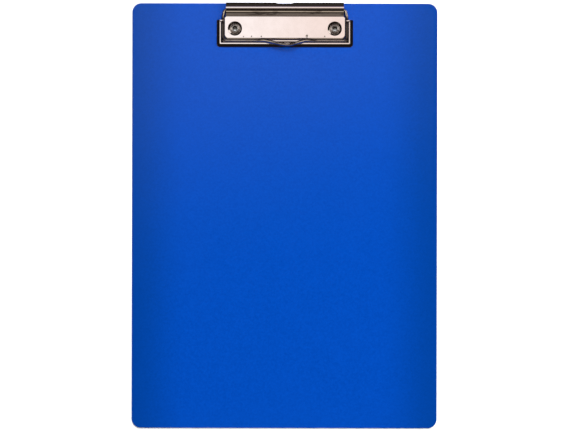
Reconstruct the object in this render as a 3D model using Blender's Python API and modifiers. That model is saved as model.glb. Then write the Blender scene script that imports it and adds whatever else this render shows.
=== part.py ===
"""A reusable A4 clipboard with a low, sprung wire clip.

Frame: the board lies flat with its back on Z = 0. The clip is at the +Y end and
the origin is at the middle of the back. Units are metres.

Seven pieces: a plastic board, a pressed base plate held by two tubular rivets, a
spring wire bail that turns under the plate's rear hood, a pressed jaw carried by
the bail, and a hanger that pulls out through an arch in the hood.
"""
import math

import bmesh
import bpy
from mathutils import Vector

# ---- Driving dimensions, in metres -------------------------------------------
CLEARANCE = 0.0003              # between pieces that touch

BOARD_WIDTH = 0.230
BOARD_LENGTH = 0.320
BOARD_THICKNESS = 0.0025
BOARD_CORNER = 0.007
BOARD_EDGE_ROUND = 0.0006

REAR_EDGE = BOARD_LENGTH / 2    # the board's edge at the clip end
TOP = BOARD_THICKNESS           # height of the writing surface

PLATE_SHEET = 0.0007
PLATE_HALF_WIDTH = 0.0453
PLATE_FRONT = 0.1329
PLATE_FLANGE_END = 0.1488       # where the side flanges stop and the hood begins
PLATE_CORNER = 0.003
PLATE_HEIGHT = TOP + 0.0024     # top of the raised platform
PLATE_BEND = 0.0003
PLATE_LIP = 0.0010              # the front edge slopes down over this width
PLATE_LIP_DROP = 0.0003
PLATE_SIDE_SHARE = 0.45         # the side flanges have this share of the lip's width

HOOD_HALF_WIDTH = 0.0442
HOOD_RAMP_START = 0.1496
HOOD_RAMP_END = 0.1536
HOOD_RAMP_HEIGHT = TOP + 0.0036
HOOD_SHOULDER = 0.1551
HOOD_SHOULDER_HEIGHT = TOP + 0.0046
HOOD_CREST_FRONT = 0.1557
HOOD_CREST_REAR = 0.1568
HOOD_CREST_HEIGHT = TOP + 0.0048
HOOD_BROW = 0.1589              # where the rear slope turns into the rear wall
HOOD_BROW_HEIGHT = TOP + 0.0041
HOOD_REAR_FLAT = TOP + 0.0030   # the rear wall is upright below this height

ARCH_HALF_WIDTH = 0.00715       # the hanger's way out through the rear wall
ARCH_HEIGHT = 0.0040
ARCH_SQUARENESS = 3.5           # power of the arch's curve: 2 is round, more is squarer
ARCH_BELOW = 0.001              # how far the arch's cutter reaches into the board's space
ARCH_DEPTH = 0.0030

RIVET_X = 0.0375
RIVET_Y = 0.1406
DISH_RADIUS = 0.00545
DISH_WALL = 0.0022              # the dish's wall slopes down over this width
RIVET_TUBE_OUTER = 0.00225
RIVET_TUBE_INNER = 0.00175
RIVET_HEAD_RADIUS = 0.00295
RIVET_HEAD_HEIGHT = 0.0009
RIVET_FLANGE_RADIUS = 0.0043
RIVET_FLANGE_THICKNESS = 0.0006
RIVET_EDGE_ROUND = 0.0002
RIVET_HOLE_RADIUS = RIVET_TUBE_OUTER + CLEARANCE

WIRE_RADIUS = 0.0011
WIRE_BEND = 0.003
PIVOT_Y = 0.1550                # the bail turns about this line under the hood
PIVOT_Z = TOP + CLEARANCE + WIRE_RADIUS
WIRE_END_X = 0.0100             # the two ends stop short of the hanger
WIRE_UPPER_X = 0.0461
WIRE_LOWER_X = 0.0467
WIRE_FRONT_Y = 0.1315
WIRE_FRONT_Z = TOP + 0.00225
WIRE_JOG_Z = TOP + 0.00185
WIRE_HUMP_Y = 0.1435            # the side runs rise to here, then slope down to the pivot
WIRE_HUMP_Z = TOP + 0.0029
JOG_FRONT_Y = 0.1499            # behind the flanges the side runs step inwards
JOG_REAR_Y = 0.1519
LIFT_RISE_HALF_LENGTH = 0.0260  # the front run arches up over this stretch
LIFT_RISE = 0.0044
LIFT_BOW_HALF_LENGTH = 0.0160   # and bows forwards, clear of the jaw, over this one
LIFT_FORWARD = 0.0037

JAW_SHEET = 0.0005
JAW_HALF_WIDTH = 0.0515
JAW_FRONT = 0.1268
JAW_LEG_END = 0.1472
JAW_CORNER = 0.0026
JAW_INNER_CORNER = 0.0006
JAW_WALL_FOOT = 0.00072         # heights above the writing surface
JAW_RIDGE_HEIGHT = 0.0023
JAW_GUTTER_HEIGHT = 0.00085
JAW_WALL_WIDTH = 0.0021         # steps inwards from the jaw's outline
JAW_WALL_RISE = 0.0021
JAW_RIDGE_FRONT = 0.0025
JAW_RIDGE_REAR = 0.0032
JAW_INNER_WALL = 0.0036
JAW_GUTTER_FRONT = 0.0044
JAW_GUTTER_REAR = 0.0057

TAB_WIDTH = 0.0012              # a tab at each leg's end folds over the wire
TAB_THICKNESS = 0.0004
TAB_UNDERSIDE = 0.0037          # above the writing surface, clear of the wire
TAB_ROOT_FRONT = 0.00265        # steps inwards from the jaw's outline
TAB_ROOT_REAR = 0.00308
TAB_BEND = 0.0036
TAB_END = 0.0056

HANGER_SHEET = 0.0007
HANGER_HALF_WIDTH = 0.0062
HANGER_EAR_HALF_WIDTH = 0.0090
HANGER_TIP = 0.1599             # outer face of the turned-up lip
HANGER_TIP_HOLLOW = 0.0006      # the tip is hollowed for a fingernail
HANGER_EAR_REAR = 0.1462
HANGER_INNER_END = 0.1430
HANGER_HOLE_Y = 0.1525
HANGER_HOLE_RADIUS = 0.0025
HANGER_LIP_HALF_WIDTH = 0.0048
HANGER_LIP_HEIGHT = 0.0022      # above the writing surface
HANGER_LIP_TAPER = 0.9          # width of the lip's top edge beside its foot
HANGER_CORNER = 0.0012

MERGE = 0.000001
ROUND_STEPS = 24
CORNER_STEPS = 6


# ---- Scene helpers -----------------------------------------------------------
def clear_scene():
    """Remove every object that is already in the file."""
    for obj in list(bpy.data.objects):
        bpy.data.objects.remove(obj, do_unlink=True)


def make_collection(name):
    """A new collection under the scene's own."""
    collection = bpy.data.collections.new(name)
    bpy.context.scene.collection.children.link(collection)
    return collection


def make_material(name, colour, roughness, metallic):
    """A Principled material with one colour."""
    material = bpy.data.materials.new(name)
    material.use_nodes = True
    shader = material.node_tree.nodes["Principled BSDF"]
    shader.inputs["Base Color"].default_value = (*colour, 1.0)
    shader.inputs["Roughness"].default_value = roughness
    shader.inputs["Metallic"].default_value = metallic
    return material


def make_empty(name, location, parent=None):
    """An empty that stands for a body, on its joint's axis."""
    empty = bpy.data.objects.new(name, None)
    empty.location = location
    empty.parent = parent
    clipboard.objects.link(empty)
    return empty


def place(obj, parent, material, crease_degrees=35):
    """Parent a finished piece without moving it, give it a material and shade it smooth."""
    bpy.context.view_layer.update()
    obj.parent = parent
    obj.matrix_parent_inverse = parent.matrix_world.inverted()
    obj.data.materials.clear()
    obj.data.materials.append(material)
    obj.data.shade_smooth()
    obj.data.set_sharp_from_angle(angle=math.radians(crease_degrees))


def object_from_bmesh(name, bm, collection):
    """Turn a bmesh into a linked object."""
    mesh = bpy.data.meshes.new(name)
    bm.to_mesh(mesh)
    bm.free()
    obj = bpy.data.objects.new(name, mesh)
    collection.objects.link(obj)
    return obj


def curve_to_mesh(curve_object, name, collection):
    """Replace a curve object by its welded mesh, so that it can be cut or joined."""
    depsgraph = bpy.context.evaluated_depsgraph_get()
    evaluated = curve_object.evaluated_get(depsgraph)
    mesh = bpy.data.meshes.new_from_object(evaluated)
    matrix = curve_object.matrix_world.copy()
    bpy.data.objects.remove(curve_object, do_unlink=True)
    bm = bmesh.new()
    bm.from_mesh(mesh)
    bmesh.ops.remove_doubles(bm, verts=bm.verts, dist=MERGE)
    bmesh.ops.recalc_face_normals(bm, faces=bm.faces)
    bm.to_mesh(mesh)
    bm.free()
    mesh.name = name
    obj = bpy.data.objects.new(name, mesh)
    obj.matrix_world = matrix
    collection.objects.link(obj)
    return obj


def prism(name, outline, bottom, height, collection):
    """A flat closed outline in X and Y, filled and given a height."""
    curve = bpy.data.curves.new(name, "CURVE")
    curve.dimensions = "2D"
    curve.fill_mode = "BOTH"
    curve.extrude = height / 2
    spline = curve.splines.new("POLY")
    spline.points.add(len(outline) - 1)
    for point, (x, y) in zip(spline.points, outline):
        point.co = (x, y, 0.0, 1.0)
    spline.use_cyclic_u = True
    guide = bpy.data.objects.new(name + "_outline", curve)
    guide.location = (0.0, 0.0, bottom + height / 2)
    collection.objects.link(guide)
    bpy.context.view_layer.update()
    return curve_to_mesh(guide, name, collection)


def upright_prism(name, outline, y, depth):
    """An outline in X and Z, given a depth along Y and centred on one Y."""
    shape = prism(name, outline, -depth / 2, depth, cutters)
    shape.rotation_euler = (math.pi / 2, 0.0, 0.0)
    shape.location = (0.0, y, 0.0)
    return as_cutter(shape, name)


def cylinder_cutter(name, x, y, radius, bottom, top):
    """An upright cylinder that is taken away from a piece."""
    bpy.ops.mesh.primitive_cylinder_add(
        vertices=ROUND_STEPS, radius=radius, depth=top - bottom,
        location=(x, y, (bottom + top) / 2))
    return as_cutter(bpy.context.active_object, name)


def as_cutter(obj, name):
    """Keep a shape that others are cut or joined with, out of the finished parts."""
    obj.name = name
    for collection in list(obj.users_collection):
        collection.objects.unlink(obj)
    cutters.objects.link(obj)
    obj.hide_render = True
    obj.display_type = "WIRE"
    return obj


def cut(obj, cutter):
    """Take a cutter away from a piece."""
    modifier = obj.modifiers.new("cut_" + cutter.name, "BOOLEAN")
    modifier.operation = "DIFFERENCE"
    modifier.solver = "EXACT"
    modifier.object = cutter


def join(obj, other):
    """Unite a piece with another shape."""
    modifier = obj.modifiers.new("join_" + other.name, "BOOLEAN")
    modifier.operation = "UNION"
    modifier.solver = "EXACT"
    modifier.object = other


def add_solidify(obj, thickness):
    """Give a sheet its thickness, below the modelled face."""
    modifier = obj.modifiers.new("sheet_thickness", "SOLIDIFY")
    modifier.thickness = thickness
    modifier.offset = -1.0
    modifier.use_even_offset = True


def add_bevel(obj, width, segments, angle_degrees=40):
    """Round the sharp edges."""
    modifier = obj.modifiers.new("rounded_edges", "BEVEL")
    modifier.width = width
    modifier.segments = segments
    modifier.limit_method = "ANGLE"
    modifier.angle_limit = math.radians(angle_degrees)


# ---- Outlines and sheets -----------------------------------------------------
def arc(cx, cy, radius, start, end, steps):
    """Points on an arc, with angles in degrees."""
    angles = [math.radians(start + (end - start) * i / steps) for i in range(steps + 1)]
    return [(cx + radius * math.cos(a), cy + radius * math.sin(a)) for a in angles]


def rounded_rectangle(half_x, half_y, radius, steps):
    """A rectangle about the origin, with round corners."""
    points = []
    for sign_x, sign_y, start in ((1, 1, 0), (-1, 1, 90), (-1, -1, 180), (1, -1, 270)):
        cx = sign_x * (half_x - radius)
        cy = sign_y * (half_y - radius)
        points += arc(cx, cy, radius, start, start + 90, steps)
    return points


def u_path(half_width, front, rear, radius, steps):
    """An open U in plan: down the -X side, across the front and up the +X side."""
    left = arc(-half_width + radius, front + radius, radius, 180, 270, steps)
    right = arc(half_width - radius, front + radius, radius, 270, 360, steps)
    return [(-half_width, rear)] + left + right + [(half_width, rear)]


def add_u_rings(bm, profile, half_width, front, rear, radius, smallest, side_share=1.0):
    """Sweep a section round a U. The section gives the step inwards and the height."""
    rings = []
    for inset, height in profile:
        side_inset = inset * side_share
        ring_radius = max(radius - side_inset, smallest)
        path = u_path(half_width - side_inset, front + inset, rear, ring_radius, CORNER_STEPS)
        rings.append([bm.verts.new((x, y, height)) for x, y in path])
    for outer, inner in zip(rings, rings[1:]):
        bridge(bm, outer, inner)
    return rings


def bridge(bm, first, second):
    """Quads between two rows that have as many points."""
    for i in range(len(first) - 1):
        bm.faces.new((first[i], first[i + 1], second[i + 1], second[i]))


def ring_edges(bm, verts):
    """Edges round a closed loop of points."""
    return [bm.edges.new((a, b)) for a, b in zip(verts, verts[1:] + verts[:1])]


def face_up(bm, flat_height):
    """Turn the sheet so that its modelled side is the upper one."""
    bmesh.ops.recalc_face_normals(bm, faces=bm.faces)
    flat = max((f for f in bm.faces if f.calc_center_median().z > flat_height - MERGE),
               key=lambda f: f.calc_area())
    if flat.normal.z < 0:
        bmesh.ops.reverse_faces(bm, faces=bm.faces)


# ---- Board -------------------------------------------------------------------
def make_board():
    """The plastic board, with a hole and a sunk seat behind each rivet."""
    outline = rounded_rectangle(BOARD_WIDTH / 2, BOARD_LENGTH / 2, BOARD_CORNER, 8)
    board = prism("board", outline, 0.0, BOARD_THICKNESS, clipboard)
    add_bevel(board, BOARD_EDGE_ROUND, 2)
    seat_depth = RIVET_FLANGE_THICKNESS + CLEARANCE
    for side, x in (("left", -RIVET_X), ("right", RIVET_X)):
        hole = cylinder_cutter("board_hole_" + side, x, RIVET_Y, RIVET_HOLE_RADIUS,
                               -CLEARANCE, TOP + CLEARANCE)
        seat = cylinder_cutter("board_seat_" + side, x, RIVET_Y,
                               RIVET_FLANGE_RADIUS + CLEARANCE, -CLEARANCE, seat_depth)
        cut(board, hole)
        cut(board, seat)
    place(board, base, plastic)
    return board


# ---- Base plate --------------------------------------------------------------
def rim_section():
    """The flange round the platform: straight up, a tight bend, then the sloping lip."""
    shoulder = PLATE_HEIGHT - PLATE_LIP_DROP
    return [
        (0.0, TOP + CLEARANCE),
        (0.0, shoulder - PLATE_BEND),
        (PLATE_BEND / 2, shoulder),
        (PLATE_LIP, PLATE_HEIGHT),
    ]


def hood_section():
    """The rear of the plate, from the ramp over the crest and down the rear wall."""
    return [
        (HOOD_RAMP_START, PLATE_HEIGHT),
        (HOOD_RAMP_END, HOOD_RAMP_HEIGHT),
        (HOOD_SHOULDER, HOOD_SHOULDER_HEIGHT),
        (HOOD_CREST_FRONT, HOOD_CREST_HEIGHT),
        (HOOD_CREST_REAR, HOOD_CREST_HEIGHT),
        (HOOD_BROW, HOOD_BROW_HEIGHT),
        (REAR_EDGE, HOOD_REAR_FLAT),
        (REAR_EDGE, TOP + CLEARANCE),
    ]


def dish_section():
    """The pressed seat of a rivet, as radius and height, from its rim to its hole."""
    floor = TOP + CLEARANCE + PLATE_SHEET
    return [
        (DISH_RADIUS, PLATE_HEIGHT),
        (DISH_RADIUS - DISH_WALL, floor),
        (RIVET_HOLE_RADIUS, floor),
    ]


def add_dish(bm, x):
    """The rings of one dish. Returns the edges of its rim."""
    rings = []
    for radius, height in dish_section():
        ring = [bm.verts.new((x + radius * math.cos(a), RIVET_Y + radius * math.sin(a), height))
                for a in (2 * math.pi * i / ROUND_STEPS for i in range(ROUND_STEPS))]
        rings.append(ring)
    for outer, inner in zip(rings, rings[1:]):
        bridge(bm, outer + outer[:1], inner + inner[:1])
    return [bm.edges.get((a, b)) for a, b in zip(rings[0], rings[0][1:] + rings[0][:1])]


def arch_cutter():
    """The squarish arch through the rear wall that the hanger comes out of."""
    outline = [(ARCH_HALF_WIDTH, TOP - ARCH_BELOW)]
    for x, z in arc(0.0, 0.0, 1.0, 0, 180, 16):
        across = math.copysign(abs(x) ** (2 / ARCH_SQUARENESS), x)
        up = max(z, 0.0) ** (2 / ARCH_SQUARENESS)
        outline.append((across * ARCH_HALF_WIDTH, TOP + up * ARCH_HEIGHT))
    outline.append((-ARCH_HALF_WIDTH, TOP - ARCH_BELOW))
    return upright_prism("hood_arch", outline, REAR_EDGE, ARCH_DEPTH)


def make_base_plate():
    """A pressed sheet: platform with flanges, two rivet dishes, and the rear hood."""
    bm = bmesh.new()
    rings = add_u_rings(bm, rim_section(), PLATE_HALF_WIDTH, PLATE_FRONT, PLATE_FLANGE_END,
                        PLATE_CORNER, PLATE_BEND, PLATE_SIDE_SHARE)
    platform = rings[-1]
    rows = [[platform[0], platform[-1]]]
    for y, z in hood_section():
        rows.append([bm.verts.new((-HOOD_HALF_WIDTH, y, z)),
                     bm.verts.new((HOOD_HALF_WIDTH, y, z))])
    for front, rear in zip(rows, rows[1:]):
        bridge(bm, front, rear)
    edges = [bm.edges.get((a, b)) for a, b in zip(platform, platform[1:])]
    edges.append(bm.edges.get((platform[0], platform[-1])))
    for x in (-RIVET_X, RIVET_X):
        edges += add_dish(bm, x)
    bmesh.ops.triangle_fill(bm, use_beauty=True, use_dissolve=False, edges=edges)
    face_up(bm, PLATE_HEIGHT)
    plate = object_from_bmesh("base_plate", bm, clipboard)
    add_solidify(plate, PLATE_SHEET)
    cut(plate, arch_cutter())
    place(plate, base, nickel)
    return plate


# ---- Rivets ------------------------------------------------------------------
def rivet_section():
    """Half of the rivet's section, from the rolled head down its outside and up its bore."""
    seat = TOP + 2 * CLEARANCE + PLATE_SHEET
    top = seat + RIVET_HEAD_HEIGHT
    roll = (RIVET_HEAD_RADIUS - RIVET_TUBE_INNER) / 2
    middle = RIVET_TUBE_INNER + roll
    crown = [(middle + roll * math.cos(a), top - RIVET_HEAD_HEIGHT / 2 +
              RIVET_HEAD_HEIGHT / 2 * math.sin(a))
             for a in (math.radians(180 - 30 * i) for i in range(7))]
    outside = [
        (RIVET_HEAD_RADIUS - RIVET_EDGE_ROUND, seat),
        (RIVET_TUBE_OUTER, seat),
        (RIVET_TUBE_OUTER, RIVET_FLANGE_THICKNESS),
        (RIVET_FLANGE_RADIUS - RIVET_EDGE_ROUND, RIVET_FLANGE_THICKNESS),
        (RIVET_FLANGE_RADIUS, RIVET_FLANGE_THICKNESS / 2),
        (RIVET_FLANGE_RADIUS - RIVET_EDGE_ROUND, 0.0),
        (RIVET_TUBE_INNER + RIVET_EDGE_ROUND, 0.0),
        (RIVET_TUBE_INNER, RIVET_EDGE_ROUND),
    ]
    return crown + outside


def make_rivet(name, x):
    """A tubular rivet, turned from its section."""
    bm = bmesh.new()
    verts = [bm.verts.new((radius, 0.0, height)) for radius, height in rivet_section()]
    ring_edges(bm, verts)
    rivet = object_from_bmesh(name, bm, clipboard)
    rivet.location = (x, RIVET_Y, 0.0)
    screw = rivet.modifiers.new("turned", "SCREW")
    screw.steps = ROUND_STEPS
    screw.render_steps = ROUND_STEPS
    screw.use_merge_vertices = True
    screw.merge_threshold = MERGE
    screw.use_smooth_shade = True
    place(rivet, base, rivet_steel)
    return rivet


# ---- Wire bail ---------------------------------------------------------------
def fillet(before, corner, after, radius, steps):
    """Points of an arc that rounds a corner between two straight runs."""
    a = (before - corner).normalized()
    b = (after - corner).normalized()
    half_angle = a.angle(b) / 2
    reach = radius / math.tan(half_angle)
    centre = corner + (a + b).normalized() * radius / math.sin(half_angle)
    start = corner + a * reach - centre
    end = corner + b * reach - centre
    turn = start.angle(end)
    points = []
    for i in range(steps + 1):
        t = i / steps
        mix = start * math.sin((1 - t) * turn) + end * math.sin(t * turn)
        points.append(centre + mix / math.sin(turn))
    return points


def swell(x, half_length):
    """A smooth hump: 1 at the middle and 0 beyond its half length."""
    return (1 + math.cos(math.pi * min(x / half_length, 1.0))) / 2


def lift_points(steps):
    """The +X half of the thumb lift, which arches up and bows forwards at its middle."""
    points = []
    for i in range(steps + 1):
        x = LIFT_RISE_HALF_LENGTH * i / steps
        y = WIRE_FRONT_Y - LIFT_FORWARD * swell(x, LIFT_BOW_HALF_LENGTH)
        z = WIRE_FRONT_Z + LIFT_RISE * swell(x, LIFT_RISE_HALF_LENGTH)
        points.append(Vector((x, y, z)))
    return points


def wire_half():
    """The +X half of the bail, from the middle of its front run to its rear end."""
    corners = [
        (Vector((WIRE_LOWER_X, WIRE_FRONT_Y, WIRE_FRONT_Z)), WIRE_BEND, 5),
        (Vector((WIRE_LOWER_X, WIRE_HUMP_Y, WIRE_HUMP_Z)), WIRE_BEND, 1),
        (Vector((WIRE_LOWER_X, JOG_FRONT_Y, WIRE_JOG_Z)), WIRE_BEND, 1),
        (Vector((WIRE_UPPER_X, JOG_REAR_Y, (WIRE_JOG_Z + PIVOT_Z) / 2)), WIRE_BEND, 1),
        (Vector((WIRE_UPPER_X, PIVOT_Y, PIVOT_Z)), WIRE_BEND, 5),
    ]
    points = lift_points(13)
    end = Vector((WIRE_END_X, PIVOT_Y, PIVOT_Z))
    for i, (corner, radius, steps) in enumerate(corners):
        after = corners[i + 1][0] if i + 1 < len(corners) else end
        before = corners[i - 1][0] if i else points[-1]
        points += fillet(before, corner, after, radius, steps)
    points.append(end)
    return points


def make_wire_bail():
    """The spring wire, bent to an open rectangle with its ends under the hood."""
    half = wire_half()
    mirrored = [Vector((-p.x, p.y, p.z)) for p in half[:0:-1]]
    route = mirrored + half
    curve = bpy.data.curves.new("wire_bail", "CURVE")
    curve.dimensions = "3D"
    curve.bevel_depth = WIRE_RADIUS
    curve.bevel_resolution = 2
    curve.use_fill_caps = True
    spline = curve.splines.new("POLY")
    spline.points.add(len(route) - 1)
    for point, place_at in zip(spline.points, route):
        point.co = (*place_at, 1.0)
    guide = bpy.data.objects.new("wire_bail_route", curve)
    clipboard.objects.link(guide)
    bpy.context.view_layer.update()
    wire = curve_to_mesh(guide, "wire_bail", clipboard)
    place(wire, clamp, wire_steel)
    return wire


# ---- Jaw ---------------------------------------------------------------------
def jaw_section():
    """Steps inwards and heights: sloping wall, narrow flat ridge and wire gutter."""
    ridge = TOP + JAW_RIDGE_HEIGHT
    gutter = TOP + JAW_GUTTER_HEIGHT
    return [
        (0.0, TOP + JAW_WALL_FOOT),
        (JAW_WALL_WIDTH, TOP + JAW_WALL_RISE),
        (JAW_RIDGE_FRONT, ridge),
        (JAW_RIDGE_REAR, ridge),
        (JAW_INNER_WALL, (ridge + gutter) / 2),
        (JAW_GUTTER_FRONT, gutter),
        (JAW_GUTTER_REAR, gutter),
    ]


def tab_section():
    """Steps inwards and heights of a tab that rises from the ridge and covers the wire."""
    root = TOP + JAW_RIDGE_HEIGHT - JAW_SHEET / 2
    under = TOP + TAB_UNDERSIDE
    over = under + TAB_THICKNESS
    shoulder = under - TAB_THICKNESS / 2
    return [(TAB_ROOT_FRONT, root), (TAB_ROOT_FRONT, shoulder), (TAB_ROOT_REAR, over),
            (TAB_END, over), (TAB_END, under), (TAB_BEND, under), (TAB_ROOT_REAR, root)]


def add_wire_tabs(jaw):
    """Fold a tab over the wire at the end of each leg."""
    for side, sign in (("left", -1), ("right", 1)):
        outline = [(sign * (JAW_HALF_WIDTH - step), height) for step, height in tab_section()]
        centre = JAW_LEG_END - CLEARANCE - TAB_WIDTH / 2
        join(jaw, upright_prism("wire_tab_" + side, outline, centre, TAB_WIDTH))


def make_clamp_jaw():
    """The pressed jaw, a U whose gutter carries the bail, with a tab at each leg's end."""
    bm = bmesh.new()
    add_u_rings(bm, jaw_section(), JAW_HALF_WIDTH, JAW_FRONT, JAW_LEG_END,
                JAW_CORNER, JAW_INNER_CORNER)
    face_up(bm, TOP + JAW_RIDGE_HEIGHT)
    jaw = object_from_bmesh("clamp_jaw", bm, clipboard)
    add_solidify(jaw, JAW_SHEET)
    add_wire_tabs(jaw)
    place(jaw, clamp, nickel)
    return jaw


# ---- Hanger ------------------------------------------------------------------
def tip_points(steps):
    """The inner face of the hollowed tip in plan, from +X to -X."""
    points = []
    for i in range(steps + 1):
        t = 1 - 2 * i / steps
        hollow = HANGER_TIP_HOLLOW * (1 - t * t)
        points.append((t * HANGER_LIP_HALF_WIDTH, HANGER_TIP - HANGER_SHEET - hollow))
    return points


def hanger_side():
    """The +X side of the hanger's T, from beside its tip to its inner end."""
    radius = HANGER_CORNER
    shoulder = HANGER_TIP - HANGER_SHEET - radius
    side = arc(HANGER_HALF_WIDTH - radius, shoulder, radius, 90, 0, 3)[1:]
    side.append((HANGER_HALF_WIDTH, HANGER_EAR_REAR))
    side += arc(HANGER_EAR_HALF_WIDTH - radius, HANGER_EAR_REAR - radius, radius, 90, 0, 3)
    side.append((HANGER_EAR_HALF_WIDTH, HANGER_INNER_END))
    return side


def make_hanger():
    """A flat tongue with a hole, stop ears at its inner end and a turned-up lip."""
    height = TOP + CLEARANCE + HANGER_SHEET
    bm = bmesh.new()
    tip = [bm.verts.new((x, y, height)) for x, y in tip_points(8)]
    side = hanger_side()
    left = [bm.verts.new((-x, y, height)) for x, y in side]
    right = [bm.verts.new((x, y, height)) for x, y in reversed(side)]
    edges = ring_edges(bm, tip + left + right)
    angles = [2 * math.pi * i / ROUND_STEPS for i in range(ROUND_STEPS)]
    hole = [bm.verts.new((HANGER_HOLE_RADIUS * math.cos(a),
                          HANGER_HOLE_Y + HANGER_HOLE_RADIUS * math.sin(a), height))
            for a in angles]
    edges += ring_edges(bm, hole)
    bmesh.ops.triangle_fill(bm, use_beauty=True, use_dissolve=False, edges=edges)
    lip = [bm.verts.new((HANGER_LIP_TAPER * v.co.x, v.co.y, TOP + HANGER_LIP_HEIGHT)) for v in tip]
    bridge(bm, tip, lip)
    bmesh.ops.recalc_face_normals(bm, faces=bm.faces)
    flat = max(bm.faces, key=lambda f: abs(f.normal.z) * f.calc_area())
    if flat.normal.z < 0:
        bmesh.ops.reverse_faces(bm, faces=bm.faces)
    tongue = object_from_bmesh("pull_out_hanger", bm, clipboard)
    add_solidify(tongue, HANGER_SHEET)
    place(tongue, hanger, nickel)
    return tongue


# ---- Assembly ----------------------------------------------------------------
clear_scene()
clipboard = make_collection("clipboard")
cutters = make_collection("cutters")

plastic = make_material("blue_plastic", (0.004, 0.075, 0.52), 0.45, 0.0)
nickel = make_material("nickel_plate", (0.80, 0.77, 0.73), 0.14, 1.0)
rivet_steel = make_material("rivet_steel", (0.60, 0.59, 0.58), 0.25, 1.0)
wire_steel = make_material("spring_wire", (0.72, 0.69, 0.64), 0.16, 1.0)

base = make_empty("base", (0.0, 0.0, 0.0))
clamp = make_empty("clamp", (0.0, PIVOT_Y, PIVOT_Z), base)
hanger = make_empty("hanger", (0.0, HANGER_TIP, TOP + CLEARANCE), base)

make_board()
make_base_plate()
make_rivet("rivet_left", -RIVET_X)
make_rivet("rivet_right", RIVET_X)
make_wire_bail()
make_clamp_jaw()
make_hanger()
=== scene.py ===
"""Looks of the clipboard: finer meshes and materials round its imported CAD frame.

The pieces keep the frame's sizes, in metres. Each one rides on its CAD body and
stands for its CAD node. Heights are above the board's back.
"""

import math

import bmesh
import bpy
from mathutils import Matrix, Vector


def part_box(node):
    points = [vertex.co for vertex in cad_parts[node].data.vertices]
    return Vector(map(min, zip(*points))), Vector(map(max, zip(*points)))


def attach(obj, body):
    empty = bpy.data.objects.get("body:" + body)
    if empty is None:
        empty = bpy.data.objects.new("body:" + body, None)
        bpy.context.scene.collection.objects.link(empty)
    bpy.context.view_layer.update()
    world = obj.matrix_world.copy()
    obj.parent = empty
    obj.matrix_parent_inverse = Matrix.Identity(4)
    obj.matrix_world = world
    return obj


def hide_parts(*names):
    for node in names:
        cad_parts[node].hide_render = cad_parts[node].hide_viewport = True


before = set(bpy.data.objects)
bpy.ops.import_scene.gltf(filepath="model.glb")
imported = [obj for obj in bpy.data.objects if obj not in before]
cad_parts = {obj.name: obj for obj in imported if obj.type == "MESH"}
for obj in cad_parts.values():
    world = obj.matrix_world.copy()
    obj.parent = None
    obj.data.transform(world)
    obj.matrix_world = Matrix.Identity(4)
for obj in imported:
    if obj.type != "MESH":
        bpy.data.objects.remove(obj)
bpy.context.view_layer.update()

# ---- Sizes, in metres --------------------------------------------------------
CLEARANCE = 0.0003
BOARD_LOW, BOARD_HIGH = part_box("board")
BOARD_HALF_X = BOARD_HIGH.x
BOARD_HALF_Y = BOARD_HIGH.y
TOP = BOARD_HIGH.z
BOARD_CORNER = 0.007
BOARD_EDGE_ROUND = 0.0006

PLATE_SHEET = 0.0006
PLATE_HALF_WIDTH = 0.0453
PLATE_FRONT = 0.1329
PLATE_FLANGE_END = 0.1488
PLATE_CORNER = 0.003
PLATE_HEIGHT = TOP + 0.0024
PLATE_LEAN = 0.00005            # of the flange, inwards over its height
PLATE_EDGE_ROUND = 0.0002
PLATE_LIP = 0.0006              # width of the sloped strip round the flat
PLATE_LIP_DROP = 0.00022
PLATE_LIP_ROUND = 0.0006
PLATE_RIM_MARGIN = 0.00025
PLATE_SIDE_SHARE = 0.45         # the strip's width at the sides, as a share of the front's
PLATE_HOOD_MARGIN = 0.0004

# The hood's section: place along the board, height above it and bend radius.
HOOD_SECTION = (
    (0.1496, 0.0024, 0.0006),   # where it leaves the platform
    (0.1520, 0.0030, 0.0020),   # shallow front slope
    (0.1528, 0.00325, 0.0020),
    (0.1536, 0.0036, 0.0012),   # foot of the steep front slope
    (0.1553, 0.0048, 0.0014),   # crest
    (0.1568, 0.0048, 0.0050),
    (0.1589, 0.0041, 0.0016),   # brow over the rear wall
)
HOOD_REAR_HEIGHT = 0.0031
HOOD_REAR_ROUND = 0.0006
HOOD_HALF_WIDTH = 0.0442
HOOD_COLUMN_GAPS = (0.0002, 0.0006, 0.00145, 0.00385, 0.00785)
ARCH_HALF_WIDTH = 0.00715
ARCH_HEIGHT = 0.0040
ARCH_SQUARENESS = 5

# Small marks that the press left along the platform's front: place, radius and depth.
PRESS_MARKS = (
    (-0.0310, 0.1345, 0.0005, 0.00008),
    (-0.0250, 0.1346, 0.0006, 0.00012),
    (-0.0176, 0.1346, 0.0006, 0.00012),
    (0.0166, 0.1349, 0.0010, 0.00034),
    (0.0300, 0.1346, 0.0006, 0.00012),
)

RIVET_X = 0.0375
RIVET_Y = 0.1406
DISH_RADIUS = 0.00545
DISH_WALL = 0.0022
DISH_MARGIN = 0.0004
DISH_EDGE_STEP = 0.0001
DISH_EDGE_ROUND = 0.0003
DISH_FLOOR_ROUND = 0.0010
DISH_FLOOR = TOP + CLEARANCE + PLATE_SHEET + 0.0001
RIVET_TUBE_OUTER = 0.00225
RIVET_TUBE_INNER = 0.00175
RIVET_HEAD_RADIUS = 0.00295
RIVET_HEAD_HEIGHT = 0.0009
RIVET_FLANGE_RADIUS = 0.0043
RIVET_FLANGE_THICKNESS = 0.0006
RIVET_HOLE_RADIUS = RIVET_TUBE_OUTER + CLEARANCE
RIVET_SEAT_RADIUS = RIVET_FLANGE_RADIUS + CLEARANCE
RIVET_SEAT_DEPTH = RIVET_FLANGE_THICKNESS + CLEARANCE
RIVET_ROUND = 0.0002
RIVET_LOBES = 6
RIVET_LOBE_DEPTH = 0.00004

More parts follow.
